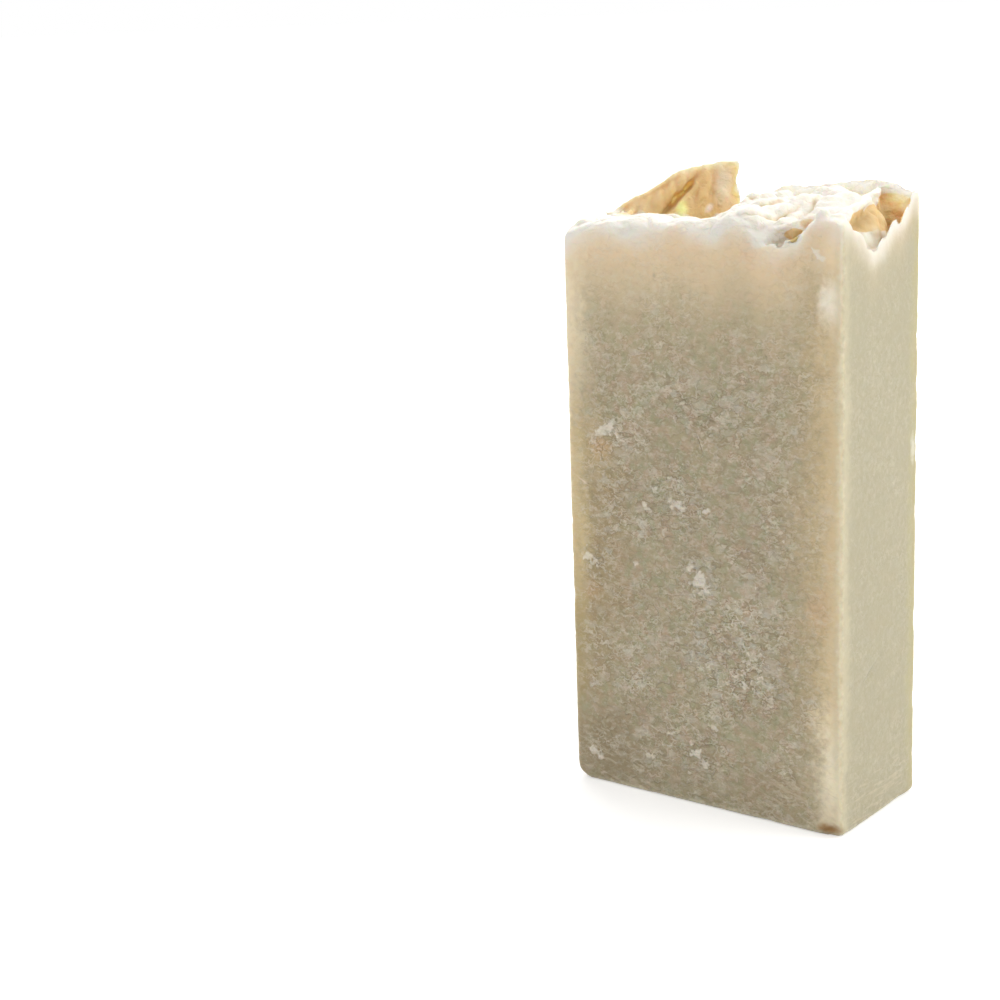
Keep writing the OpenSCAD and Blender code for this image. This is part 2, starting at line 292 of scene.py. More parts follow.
# Folds that the spoon pulled up: height (below zero for a crease), half width, and the line over the skin
folds = (
    (0.25, 1.0, ((-24.2, 0.2, 95.1), (-22.4, 1.9, 95.8), (-20.3, 3.2, 96.6), (-17.5, 5.5, 98.2), (-15.4, 7.0, 99.4))),
    (-0.30, 0.5, ((-21.9, 2.0, 94.2), (-20.1, 3.3, 95.5), (-18.3, 4.4, 96.5), (-16.8, 6.0, 97.6), (-14.2, 7.8, 99.8))),
    (0.30, 0.8, ((-19.4, 3.4, 93.7), (-17.3, 4.5, 95.3), (-16.0, 6.0, 96.5), (-14.5, 7.2, 97.9), (-13.2, 8.3, 99.6))),
    (-1.40, 0.6, ((-17.9, 3.7, 91.2), (-17.2, 4.4, 92.4), (-16.1, 5.7, 94.3), (-15.0, 6.7, 95.8), (-13.9, 7.6, 97.0), (-12.4, 9.0, 99.6))),
    (0.20, 0.8, ((-14.6, 6.6, 94.8), (-13.6, 7.5, 96.2), (-12.6, 8.4, 98.0), (-11.9, 9.2, 99.8))),
    (-0.25, 0.4, ((-12.9, 7.6, 93.4), (-12.6, 8.0, 95.6), (-12.2, 8.6, 97.6))),
    (0.20, 0.8, ((-12.0, 8.2, 92.6), (-11.6, 8.5, 94.9), (-11.5, 9.0, 96.8), (-11.3, 10.0, 100.0))),
    (-0.30, 0.5, ((-10.6, 9.2, 93.0), (-10.4, 9.3, 95.2), (-10.5, 9.7, 97.1), (-10.4, 10.4, 99.8))),
    (0.20, 0.7, ((-9.2, 10.3, 93.2), (-9.4, 10.4, 95.1), (-9.5, 10.8, 97.0), (-9.3, 11.4, 99.8))),
    (-0.90, 0.45, ((7.8, -10.7, 95.1), (8.8, -10.0, 95.2), (10.1, -8.7, 94.8), (11.2, -7.8, 94.1), (11.9, -5.6, 94.8), (12.0, -1.8, 95.9))),
    (-0.80, 0.45, ((13.4, -2.8, 94.6), (13.9, -2.0, 95.3), (13.2, 1.2, 96.7))),
    (0.45, 0.9, ((9.8, -10.7, 94.1), (12.2, -9.2, 93.3), (13.0, -6.0, 94.0), (12.9, -2.5, 94.9))),
    (0.40, 0.9, ((8.1, -6.3, 95.4), (9.5, -5.8, 95.1), (10.7, -4.0, 95.6), (11.3, -0.5, 96.8))),
    (-0.80, 0.45, ((1.7, -4.6, 95.0), (4.0, -4.0, 95.6), (6.5, -2.0, 96.0), (7.5, 2.0, 96.6))),
    (-0.70, 0.45, ((-2.0, 1.0, 94.0), (1.5, 2.5, 95.5), (4.0, 6.0, 96.5))),
    (-1.30, 0.8, ((15.7, -12.3, 91.6), (16.2, -11.9, 92.1), (16.9, -11.0, 92.8))),
    (-0.80, 0.4, ((15.3, -12.5, 90.9), (15.6, -12.4, 91.5))),
    (-0.40, 0.5, ((20.9, 2.4, 95.0), (21.4, 3.4, 94.0), (22.0, 4.4, 92.8))),
    (0.30, 0.5, ((24.0, -9.8, 95.2), (22.0, -4.8, 95.2), (21.5, -1.5, 95.7), (20.9, 2.2, 95.9), (19.7, 7.0, 96.6))),
    (0.80, 0.45, ((-22.2, 0.4, 93.3), (-21.6, 1.0, 93.5))),
    (0.90, 0.45, ((-20.9, 1.0, 93.3), (-20.2, 1.8, 93.5))),
    (0.70, 0.40, ((-19.2, 1.9, 93.1), (-18.8, 2.4, 93.3))),
    (-0.35, 0.7, ((-7.6, -12.5, 85.5), (-7.5, -12.5, 85.2))),
    (-0.25, 0.5, ((1.2, -12.5, 64.1), (3.5, -12.5, 63.2))),
    (-0.25, 0.4, ((-0.6, -12.5, 61.8), (0.1, -12.5, 59.6), (1.2, -12.5, 57.1))),
    (-0.20, 0.5, ((25.0, 0.3, 26.4), (25.0, -4.5, 23.4), (25.0, -7.1, 22.5))),
)
points, normals = points_of(skin), normals_of(skin)
triangles = BVHTree.FromPolygons([tuple(p) for p in points], [tuple(f.vertices) for f in skin.polygons])

# The spoon drew the wave out to a thin tail at its left end and a sharp corner at its right end, and the
# base corner under the near mould wall stayed sharper than the others
tail = (0.7 + 0.9 * (1 - ramp(points[:, 0], -24.6, -21.5))) * (1 - ramp(points[:, 0], -19.0, -14.5)) * ramp(points[:, 2], 92.6, 95.6)
horn = on_wave * ramp(points[:, 0], -11.5, -8.0) * ramp(points[:, 2], 97.0, 100.0)
points[:, 2] += 1.1 * horn - 1.1 * tail * on_wave
points[:, 0] += 0.5 * horn
from_wall, from_base = 2.6 - (HALF_WIDTH - points[:, 0]), 2.6 - points[:, 2]
corner = (from_wall > 0) & (from_base > 0)
reach = np.hypot(from_wall, from_base) + 0.001
crisp = np.where(corner, (2 * from_wall * from_base / reach ** 2).clip(0, 1) ** 1.5 * (reach / 2.6).clip(0, 1) ** 2, 0)
points[:, 0] += 0.5 * crisp
points[:, 2] -= 0.5 * crisp
crease_shade = np.zeros(len(points))
for height, half_width, line in folds:
    stations = []
    for start, end in zip(line[:-1], line[1:]):
        steps = max(2, int(math.dist(start, end) / 0.25))
        stations += [triangles.find_nearest(Vector(start).lerp(Vector(end), k / steps))[0] for k in range(steps)]
    stations = np.array([tuple(p) for p in stations])
    near = np.nonzero(np.all(
        (points > stations.min(axis=0) - 3 * half_width) & (points < stations.max(axis=0) + 3 * half_width), axis=1))[0]
    away = np.linalg.norm(points[near, None] - stations[None], axis=2)
    along = away.argmin(axis=1) / max(1, len(stations) - 1)
    fade = np.sqrt(np.sin(math.pi * np.clip(along, 0.04, 0.96)))
    lift = height * fade * np.exp(-(away.min(axis=1) / half_width) ** 2)
    points[near] += normals[near] * lift[:, None]
    # Painted shade: the top is painted darker along the creases, the more the deeper a point lies in one
    if height < 0:
        crease_shade[near] = np.maximum(crease_shade[near], min(1.0, -1.2 * height) * fade * np.exp(-(away.min(axis=1) / half_width / 0.8) ** 2))
set_points(skin, points)


def soap_relief():
    """Moves the skin along its normal: puffed folds with sharp creases where it was whipped, shallow
    dents where the wire tore it, and wear along the edges."""
    group = bpy.data.node_groups.new("soap_relief", "GeometryNodeTree")
    face = group.interface
    face.new_socket("Geometry", in_out="INPUT", socket_type="NodeSocketGeometry")
    for title, start in (
        ("Fold Depth", 0.5), ("Fold Length", 4.0), ("Crease Depth", 0.2), ("Crease Length", 1.5),
        ("Dent Depth", 0.2), ("Dent Length", 4.0), ("Tear Depth", 0.1), ("Tear Length", 1.3),
        ("Wear Depth", 0.4), ("Wear Length", 2.5),
    ):
        face.new_socket(title, in_out="INPUT", socket_type="NodeSocketFloat").default_value = start
    face.new_socket("Geometry", in_out="OUTPUT", socket_type="NodeSocketGeometry")
    nodes, links = group.nodes, group.links
    start = nodes.new("NodeGroupInput")
    end = nodes.new("NodeGroupOutput")
    place = nodes.new("GeometryNodeInputPosition")

    def math_node(kind, first, second=None):
        made = nodes.new("ShaderNodeMath")
        made.operation = kind
        for slot, value in zip(made.inputs, (first, second)):
            if value is None:
                continue
            if isinstance(value, (int, float)):
                slot.default_value = value
            else:
                links.new(value, slot)
        return made.outputs[0]

    def noise_node(at, size, detail, seed, colour=False):
        made = nodes.new("ShaderNodeTexNoise")
        made.noise_dimensions = "4D"
        made.inputs["W"].default_value = seed
        links.new(at, made.inputs["Vector"])
        links.new(math_node("DIVIDE", 1.0, size), made.inputs["Scale"])
        made.inputs["Detail"].default_value = detail
        return made.outputs["Color" if colour else "Fac"]

    def bent_place(size, amount, seed):
        field = noise_node(place.outputs[0], size, 1.0, seed, colour=True)
        centred = nodes.new("ShaderNodeVectorMath")
        centred.operation = "SUBTRACT"
        links.new(field, centred.inputs[0])
        centred.inputs[1].default_value = (0.5, 0.5, 0.5)
        scaled = nodes.new("ShaderNodeVectorMath")
        scaled.operation = "SCALE"
        links.new(centred.outputs[0], scaled.inputs[0])
        scaled.inputs["Scale"].default_value = amount
        moved = nodes.new("ShaderNodeVectorMath")
        moved.operation = "ADD"
        links.new(place.outputs[0], moved.inputs[0])
        links.new(scaled.outputs[0], moved.inputs[1])
        return moved.outputs[0]

    def puffs(at, size, seed):
        field = noise_node(at, size, 0.0, seed)
        billow = math_node("ABSOLUTE", math_node("SUBTRACT", field, 0.5))
        return math_node("SUBTRACT", math_node("MINIMUM", math_node("MULTIPLY", billow, 6.0), 1.0), 0.45)

    def masked(name, *layers):
        total = None
        for depth, field in layers:
            layer = math_node("MULTIPLY", field, start.outputs[depth])
            total = layer if total is None else math_node("ADD", total, layer)
        mask = nodes.new("GeometryNodeInputNamedAttribute")
        mask.data_type = "FLOAT"
        mask.inputs["Name"].default_value = name
        return math_node("MULTIPLY", total, mask.outputs["Attribute"])

    whipped = masked(
        "whipped",
        ("Fold Depth", puffs(bent_place(5.0, 5.0, 2.0), start.outputs["Fold Length"], 7.0)),
        ("Crease Depth", puffs(bent_place(2.0, 2.0, 4.0), start.outputs["Crease Length"], 11.0)),
    )
    inward = math_node("MULTIPLY", noise_node(place.outputs[0], start.outputs["Dent Length"], 1.0, 3.0), -1.0)
    torn = math_node("MULTIPLY", noise_node(bent_place(1.5, 1.0, 6.0), start.outputs["Tear Length"], 1.0, 5.0), -1.0)
    cut = masked("cut", ("Dent Depth", inward), ("Tear Depth", torn))
    chewed = math_node("MAXIMUM", math_node("SUBTRACT", noise_node(
        place.outputs[0], start.outputs["Wear Length"], 4.0, 9.0), 0.50), 0.0)
    worn = masked("edge", ("Wear Depth", math_node("MULTIPLY", chewed, -4.0)))
    rise = math_node("ADD", whipped, math_node("ADD", cut, worn))
    normal = nodes.new("GeometryNodeInputNormal")
    offset = nodes.new("ShaderNodeVectorMath")
    offset.operation = "SCALE"
    links.new(normal.outputs[0], offset.inputs[0])
    links.new(rise, offset.inputs["Scale"])
    move = nodes.new("GeometryNodeSetPosition")
    links.new(start.outputs["Geometry"], move.inputs["Geometry"])
    links.new(offset.outputs[0], move.inputs["Offset"])
    links.new(move.outputs[0], end.inputs["Geometry"])
    return group


def set_field(mesh, name, values):
    """A number on each point of the skin, which the relief and the finish read."""
    field = mesh.attributes.get(name) or mesh.attributes.new(name, "FLOAT", "POINT")
    field.data.foreach_set("value", values.astype(np.float32))


to_cut, to_mould = inset_of(points)
inset = np.minimum(to_cut, to_mould)
body = 1 - ramp(points[:, 2], TOP_FROM + 1, TOP_FROM + 5)
set_field(skin, "whipped", ramp(points[:, 2], TOP_FROM, TOP_FROM + 3) * ramp(inset, 0.0, 1.2)
          * (1 - 0.6 * pools(points, wave_place)))
set_field(skin, "crease_shade", crease_shade)
set_field(skin, "cut", (0.35 + 0.65 * (1 - ramp(to_cut, 0.2, 1.0))) * (1 - ramp(inset, 0.5, 1.2)))
set_field(skin, "edge", 1 - ramp(np.minimum(np.maximum(to_cut, to_mould), points[:, 2]) * body + (1 - body) * 3, 0.6, 2.4))
skin = applied(skin, "NODES", node_group=soap_relief(), inputs={
    "Fold Depth": 0.45, "Fold Length": 4.2, "Crease Depth": 0.11, "Crease Length": 1.7,
    "Dent Depth": 0.20, "Dent Length": 5.0, "Tear Depth": 0.18, "Tear Length": 1.3,
    "Wear Depth": 0.20, "Wear Length": 3.6,
})

# Flakes that the wire lifted and pressed back on the front: place across and up, half length, half width,
# turn in degrees, how pale
large_flakes = (
    (-17.6, 60.3, 1.6, 1.2, 25, 1.0), (-16.3, 60.9, 1.2, 0.9, 60, 1.0), (-15.2, 59.7, 1.0, 0.6, -40, 0.9),
    (-18.6, 59.8, 1.0, 0.8, 10, 0.9), (-18.3, 66.7, 1.5, 1.3, 30, 0.45), (-13.4, 58.9, 0.8, 0.6, 0, 0.6),
    (-11.1, 63.8, 1.7, 1.2, -15, 0.5), (5.2, 64.4, 2.0, 1.2, 5, 0.45), (2.6, 62.2, 1.6, 0.8, 20, 0.5),
    (-8.0, 51.6, 1.0, 0.7, 35, 0.8), (-5.5, 53.7, 0.9, 0.7, 0, 0.7), (-4.1, 49.6, 1.5, 0.9, 20, 0.9),
    (-3.0, 48.9, 1.0, 0.6, -50, 0.7), (-9.8, 48.7, 1.6, 0.6, -50, 0.8), (-5.0, 50.4, 0.8, 0.6, 70, 0.7),
    (1.7, 49.2, 1.3, 0.5, 12, 1.0), (-21.3, 38.9, 1.5, 1.0, -20, 0.9), (-20.1, 37.9, 1.0, 0.7, 40, 0.8),
    (-11.9, 39.1, 0.8, 0.6, 15, 0.8), (0.2, 38.3, 1.5, 1.2, 40, 1.0), (1.1, 36.9, 1.2, 0.9, -30, 0.9),
    (-0.9, 37.3, 1.0, 0.7, 20, 0.8), (-1.8, 39.6, 1.0, 0.7, 60, 0.8), (3.7, 26.5, 1.5, 0.9, 70, 0.6),
    (5.6, 26.9, 1.1, 0.8, 20, 0.5), (9.5, 27.1, 1.6, 0.9, -60, 0.6), (8.2, 21.9, 1.0, 0.6, 10, 0.9),
    (10.9, 23.5, 1.0, 0.7, 30, 0.7), (6.4, 23.2, 1.3, 0.6, -40, 0.5), (-5.6, 11.5, 1.0, 0.7, 50, 0.7),
    (0.3, 12.0, 1.1, 0.5, 5, 0.7), (2.4, 13.9, 1.1, 0.6, -20, 0.7), (-0.9, 8.9, 1.5, 0.9, 30, 1.0),
    (0.6, 7.3, 1.1, 0.8, -35, 0.9), (-1.9, 10.2, 0.9, 0.6, 70, 0.8), (-9.9, 6.8, 1.2, 0.7, 15, 0.8),
    (-21.0, 5.3, 1.5, 0.9, -25, 0.9), (-19.6, 4.4, 0.9, 0.6, 30, 0.7), (-3.0, 66.0, 1.2, 0.8, 40, 0.4),
    (12.0, 48.0, 1.0, 0.7, -30, 0.5), (-14.0, 27.0, 1.1, 0.6, 35, 0.5), (14.5, 34.0, 1.0, 0.6, 60, 0.5),
    (20.9, 89.9, 1.5, 0.7, -40, 1.0), (-9.0, 71.0, 1.2, 0.7, 20, 0.35), (8.0, 56.0, 1.2, 0.7, 50, 0.35),
)
points, normals = points_of(skin), normals_of(skin)
chip = np.zeros(len(points))
for index, (across, up, long, wide, turn, tone) in enumerate(large_flakes):
    side, rise = points[:, 0] - across, points[:, 2] - up
    near = np.nonzero((points[:, 1] < 1 - HALF_DEPTH) & (side * side + rise * rise < (1.8 * long) ** 2))[0]
    side, rise = side[near], rise[near]
    cosine, sine = math.cos(math.radians(turn)), math.sin(math.radians(turn))
    stray = np.array([
        0.65 * noise.noise(Vector((a * 1.3, index * 3.7, b * 1.3))) + 0.55 * noise.noise(Vector((a * 3.2, index, b * 3.2)))
        for a, b in zip(side, rise)
    ])
    away = np.hypot((side * cosine + rise * sine) / long, (rise * cosine - side * sine) / wide) + stray
    cover = 1 - ramp(away, 0.55, 0.95)
    chip[near] = np.maximum(chip[near], tone * cover)
    points[near] += normals[near] * (0.30 * cover * (0.7 + 0.6 * stray))[:, None]
set_points(skin, points)
set_field(skin, "chip", chip)
skin = applied(skin, "DECIMATE", ratio=min(1.0, 190000 / (len(skin.polygons) * 2)))
points = np.clip(points_of(skin), np.array(cad_low) * MM, np.array(cad_high) * MM)
set_points(skin, points)

# What the air did to the top: how open each place is, where the top is gold, partly raw soap and partly a painted glow
# of light through thin soap, and how far each place on the cut and moulded faces lies under the rim, from which the ash
# and the painted light fade down
triangles = BVHTree.FromPolygons([tuple(p) for p in points], [tuple(f.vertices) for f in skin.polygons])
normals = normals_of(skin)
spread = []
for k in range(12):
    lean = math.acos(1 - (k + 0.5) / 12 * 0.92)
    turn = k * 2.39996
    spread.append(Vector((math.sin(lean) * math.cos(turn), math.sin(lean) * math.sin(turn), math.cos(lean))))
open_air = np.ones(len(points))
for i in np.nonzero(points[:, 2] > TOP_FROM)[0]:
    at, out = Vector(points[i]), Vector(normals[i])
    turned = out.to_track_quat("Z", "Y")
    clear = 0.0
    for ray in spread:
        hit = triangles.ray_cast(at + out * 0.1, turned @ ray, 6.0)
        clear += 1.0 if hit[0] is None else min(1.0, hit[3] / 6.0)
    open_air[i] = clear / len(spread)


def drifted(across, up, strength):
    """How thick the crumbs lie on the broad faces, thickest in a few drifts."""
    thick = np.zeros(len(across))
    for x, z, reach_x, reach_z, amount in (
        (5, 26, 15, 12, 0.9), (-4, 49, 13, 9, 0.8), (2, 65, 14, 8, 0.75), (0, 38, 7, 6, 1.0), (8, 22, 12, 9, 1.0),
        (0, 9, 8, 6, 0.8), (-19, 38, 5, 6, 0.5), (-16, 60, 6, 6, 0.6), (-9, 18, 10, 8, 0.6), (-14, 50, 6, 6, 0.5),
        (12, 42, 9, 9, 0.5), (-8, 33, 9, 7, 0.5),
    ):
        away = np.hypot((across - x) / reach_x, (up - z) / reach_z)
        thick = np.maximum(thick, amount * (1 - ramp(away, 0.1, 1.1)))
    return thick * strength


def rim_line(along, height, near):
    """The rim's height along one face, eased, as a table over the whole face."""
    slots = np.arange(-26, 26.5, 0.5)
    tops = np.array([
        height[near & (np.abs(along - slot) < 0.45)].max() if np.any(near & (np.abs(along - slot) < 0.45)) else np.nan
        for slot in slots
    ])
    known = ~np.isnan(tops)
    tops = np.interp(slots, slots[known], tops[known])
    weights = np.exp(-(np.arange(-6, 7) / 2.6) ** 2)
    eased = np.convolve(np.pad(tops, 6, mode="edge"), weights / weights.sum(), mode="valid")
    return lambda place: np.interp(place, slots, eased)


x, y, z = points.T
to_cut, to_mould = inset_of(points)
front, back = rim_line(x, z, y < 0.6 - HALF_DEPTH), rim_line(x, z, y > HALF_DEPTH - 0.6)
left, right = rim_line(y, z, x < 0.6 - HALF_WIDTH), rim_line(y, z, x > HALF_WIDTH - 0.6)
on_cut = to_mould / (to_cut + to_mould + 0.01)
rim = on_cut * np.where(y < 0, front(x), back(x)) + (1 - on_cut) * np.where(x < 0, left(y), right(y))
outward = np.where(to_cut < to_mould, normals[:, 1] * np.sign(y), normals[:, 0] * np.sign(x))
cut_face = (1 - ramp(np.minimum(to_cut, to_mould), 0.25, 0.7)) * np.maximum(1 - ramp(z, 88, 90), ramp(outward, 0.1, 0.6))
slit = ((15.4, -9.9, 92.1), (1.9, 2.1, 1.15), 1.0), ((16.5, -11.3, 91.8), (0.8, 1.0, 0.7), 0.8)
poured = ramp(z, TOP_FROM - 1, TOP_FROM + 1) * (1 - cut_face)
poured = np.maximum(poured, pools(points, slit))
# Gold: partly raw soap and partly a painted glow of light shining through the thin wave, the thin walls of the pocket
# at the right and the slit
raw_soap_and_glow = wave_place + (
    ((20.6, 10.6, 93.6), (4.0, 3.4, 3.3), 1.0),
    ((23.6, 8.4, 93.4), (2.4, 5.2, 3.2), 1.0),
    ((22.6, 4.6, 93.8), (3.0, 4.6, 2.4), 1.0),
    ((22.8, -0.8, 93.6), (2.8, 5.4, 1.9), 1.0),
    ((17.4, -8.7, 93.8), (1.6, 1.4, 0.9), 0.45),
) + slit
set_field(skin, "open_air", open_air)
set_field(skin, "poured", poured)
set_field(skin, "height", z)
set_field(skin, "across", 1 - on_cut)
set_field(skin, "far_edge", np.maximum(ramp(y, 6, 9), ramp(-x, 20, 23) * (1 - ramp(z, 40, 60))))
set_field(skin, "edge_near", np.minimum(np.maximum(to_cut, to_mould), z))
set_field(skin, "gold", pools(points, raw_soap_and_glow))
set_field(skin, "wall_near", np.maximum(to_cut, to_mould))
set_field(skin, "drift", drifted(x, z, np.where(y < 0, 1.0, 0.5)))
on_wave = pools(points, wave_place)
wave_top = rim_line(x, z, on_wave > 0.4)
set_field(skin, "under_crown", np.where(on_wave > 0.3, wave_top(x) - z, 20.0))
set_field(skin, "under_rim", (rim - z) * cut_face + 40 * (1 - cut_face) * (1 - ramp(z, TOP_FROM - 1, TOP_FROM + 1)))
skin.transform(Matrix.Scale(1 / MM, 4))

soap_finish = bpy.data.materials.new("poured_soap")
soap_finish.use_nodes = True
tree = soap_finish.node_tree
tree.nodes.clear()
nodes = tree.nodes


def number(kind, first, second=None, third=None):
    made = nodes.new("ShaderNodeMath")
    made.operation = kind
    for slot, value in zip(made.inputs, (first, second, third)):
        if value is None:
            continue
        if isinstance(value, (int, float)):
            slot.default_value = value
        else:
            link(tree, value, slot)
    return made.outputs[0]


def between(value, low, high, start=0.0, end=1.0):
    made = nodes.new("ShaderNodeMapRange")
    made.interpolation_type = "SMOOTHSTEP"
    link(tree, value, made.inputs["Value"])
    made.inputs["From Min"].default_value = low
    made.inputs["From Max"].default_value = high
    made.inputs["To Min"].default_value = start
    made.inputs["To Max"].default_value = end
    return made.outputs["Result"]


def tinted(amount, under, over, how="MIX"):
    made = nodes.new("ShaderNodeMix")
    made.data_type = "RGBA"
    made.blend_type = how
    for slot, value in ((made.inputs[0], amount), (made.inputs[6], under), (made.inputs[7], over)):
        if isinstance(value, tuple):
            slot.default_value = (*value, 1)
        elif isinstance(value, float):
            slot.default_value = value
        else:
            link(tree, value, slot)
    return made.outputs[2]


def placed(centre, reach, turn=(0, 0, 0)):
    """Places measured from a centre, in lengths of reach, millimetres and degrees."""
    if not any(turn):
        straight = nodes.new("ShaderNodeVectorMath")
        straight.operation = "MULTIPLY_ADD"
        link(tree, here, straight.inputs[0])
        straight.inputs[1].default_value = [MM / r for r in reach]
        straight.inputs[2].default_value = [-c / r for c, r in zip(centre, reach)]
        return straight.outputs["Vector"]
    made = nodes.new("ShaderNodeMapping")
    made.vector_type = "TEXTURE"
    link(tree, here, made.inputs["Vector"])
    made.inputs["Location"].default_value = [c / MM for c in centre]
    made.inputs["Rotation"].default_value = [math.radians(a) for a in turn]
    made.inputs["Scale"].default_value = [r / MM for r in reach]
    return made.outputs["Vector"]


def grain(size, detail=2.0, rough=0.5, at=None, seed=0.0):
    made = nodes.new("ShaderNodeTexNoise")
    made.noise_dimensions = "4D"
    made.inputs["W"].default_value = seed
    made.inputs["Scale"].default_value = MM / size
    made.inputs["Detail"].default_value = detail
    made.inputs["Roughness"].default_value = rough
    link(tree, at or here, made.inputs["Vector"])
    return made.outputs["Fac"]


def field_of(name):
    made = nodes.new("ShaderNodeAttribute")
    made.attribute_name = name
    return made.outputs["Fac"]


here = nodes.new("ShaderNodeTexCoord").outputs["Object"]
mottle = grain(6, 3, 0.55, seed=1)
speck = grain(1.1, 3, 0.6, seed=2)


def marked(colour, centre, reach, tone, strength, turn=(0, 0, 0), ragged=0.9):
    """The colour, tinted towards a tone round a place, with a ragged soft border."""
    away = nodes.new("ShaderNodeVectorMath")
    away.operation = "LENGTH"
    link(tree, placed(centre, reach, turn), away.inputs[0])
    strayed = number("MULTIPLY", number("SUBTRACT", number("ADD", mottle, speck), 1.0), ragged)
    return tinted(between(number("ADD", away.outputs["Value"], strayed), 0.15, 1.0, strength, 0.0), colour, tone)


# Wire-cut khaki soap, greener in the middle, with painted light: paler and pinker under the rim where the light from
# above falls, and pale and amber bands near the mould walls where light shines through the edges
under_rim = number("ADD", field_of("under_rim"), number("MULTIPLY", number("SUBTRACT", mottle, 0.5), 5.0))
colour = tinted(between(mottle, 0.38, 0.62), (0.425, 0.352, 0.232), (0.455, 0.392, 0.248))
colour = tinted(between(grain(2.4, 3, 0.6, seed=3), 0.42, 0.64, 0.0, 0.8), colour, (0.505, 0.375, 0.258))
colour = tinted(between(grain(2.0, 3, 0.6, seed=4), 0.46, 0.66, 0.0, 0.8), colour, (0.385, 0.370, 0.222))
# Painted light: the face is painted paler and pinker towards the rim, as if lit more strongly from above
colour = tinted(between(under_rim, 3.0, 26.0, 0.65, 0.0), colour, (0.72, 0.60, 0.385))
colour = tinted(between(under_rim, 0.5, 15.0, 0.90, 0.0), colour, (0.90, 0.70, 0.46))
for centre, reach, tone, strength in (
    # Painted light: pale and amber bands along the near right edge, for light shining through it, and a painted
    # highlight, the cream line on that edge
    ((22, -12.5, 46), (11, 4, 70), (0.56, 0.45, 0.275), 0.7),
    ((25, -12.5, 45), (5.6, 7, 95), (0.88, 0.71, 0.43), 0.9),
    ((21.6, -12.5, 50), (5.0, 4, 64), (0.66, 0.52, 0.30), 0.55),
    # Painted light: pale and amber bands down the left edge, for light shining through it from behind
    ((-26, -12.5, 76), (8.0, 6, 38), (0.91, 0.79, 0.56), 0.95),
    ((-21, -12.5, 40), (11, 4, 38), (0.43, 0.325, 0.175), 0.75),
    ((-20.5, -12.5, 58), (7, 4, 10), (0.60, 0.465, 0.25), 0.5),
    ((-24.2, -12.5, 46), (4.6, 4, 30), (0.72, 0.58, 0.32), 0.85),
    ((-24.5, -12.5, 22), (4.0, 4, 16), (0.46, 0.36, 0.17), 0.8),
    ((-19.0, -12.5, 57.4), (3.2, 3, 2.6), (0.60, 0.39, 0.20), 0.7),
    ((-20.7, -12.5, 33.6), (2.8, 3, 2.4), (0.58, 0.39, 0.21), 0.6),
    ((21.0, -12.5, 36), (3.4, 4, 6), (0.68, 0.47, 0.28), 0.55),
    # Painted highlight on the near edge, low down
    ((24.6, -12.5, 7), (6.5, 4, 20), (0.99, 0.90, 0.68), 0.95),
    ((23.0, -12.5, 90), (5.0, 4, 5), (0.95, 0.78, 0.54), 0.7),
    ((9.3, -12.5, 90.0), (2.2, 4, 3.6), (0.82, 0.61, 0.40), 0.7),
    ((23.4, -12.5, 83), (3.4, 3, 5.5), (0.99, 0.90, 0.74), 0.95),
    # Painted shade: darker towards the bottom, away from the light above
    ((-19, -12.5, 7), (13, 6, 12), (0.325, 0.255, 0.150), 0.75),
    ((0, -12.5, 2), (60, 6, 9), (0.36, 0.295, 0.185), 0.35),
    ((0.5, -12.5, 25), (5, 4, 5), (0.50, 0.44, 0.32), 0.5),
):
    colour = marked(colour, centre, reach, tone, strength)
moulded = number("MULTIPLY", between(field_of("across"), 0.45, 0.92, 0.0, 0.95), between(under_rim, 0.5, 9.0, 0.7, 1.0))
colour = tinted(moulded, colour, (0.465, 0.418, 0.285))
for centre, reach, tone, strength in (
    ((25, 11.5, 45), (5, 3.5, 150), (0.50, 0.445, 0.245), 0.85),
    # Painted highlight along the near edge of the side
    ((25, -11.8, 45), (2.2, 3.0, 150), (0.64, 0.575, 0.40), 0.8),
):
    colour = marked(colour, centre, reach, tone, strength)

# Grain: pale and dark grains all over the cut faces, larger crumbs where the wire tore it, and drag marks, with painted
# light and shade on the shavings
side_on = between(field_of("across"), 0.3, 0.9, 1.0, 0.36)
torn = number("MULTIPLY", side_on, between(grain(10, 3, 0.6, seed=8), 0.32, 0.62, 0.45, 1.0))
torn = number("MULTIPLY", torn, between(under_rim, 3.0, 22.0, 0.75, 1.0))
torn = number("MULTIPLY", torn, between(field_of("wall_near"), 0.5, 5.0, 0.45, 1.0))
bent = nodes.new("ShaderNodeVectorMath")
bent.operation = "MULTIPLY_ADD"
wobble = nodes.new("ShaderNodeTexNoise")
wobble.inputs["Scale"].default_value = MM / 1.0
link(tree, here, wobble.inputs["Vector"])
link(tree, wobble.outputs["Color"], bent.inputs[0])
bent.inputs[1].default_value = (1.1 / MM, 1.1 / MM, 1.1 / MM)
link(tree, here, bent.inputs[2])
lean = nodes.new("ShaderNodeMapping")
lean.vector_type = "TEXTURE"
link(tree, bent.outputs[0], lean.inputs["Vector"])
lean.inputs["Rotation"].default_value = (0, math.radians(-3), 0)
lean.inputs["Scale"].default_value = (1.6, 0.95, 0.92)
crumb = grain(0.95, 3, 0.7, at=lean.outputs[0], seed=5)
small = grain(0.42, 3, 0.7, at=lean.outputs[0], seed=6)
drift = number("ADD", number("MULTIPLY", field_of("drift"), 0.75), between(grain(5.0, 2, 0.55, seed=21), 0.40, 0.62, 0.25, 0.8))
loose = number("MULTIPLY", torn, number("MULTIPLY", drift, between(under_rim, 6.0, 60.0, 0.70, 1.0)))
colour = tinted(number("MULTIPLY", torn, between(crumb, 0.48, 0.68, 0.0, 0.52)), colour, (0.76, 0.70, 0.57))
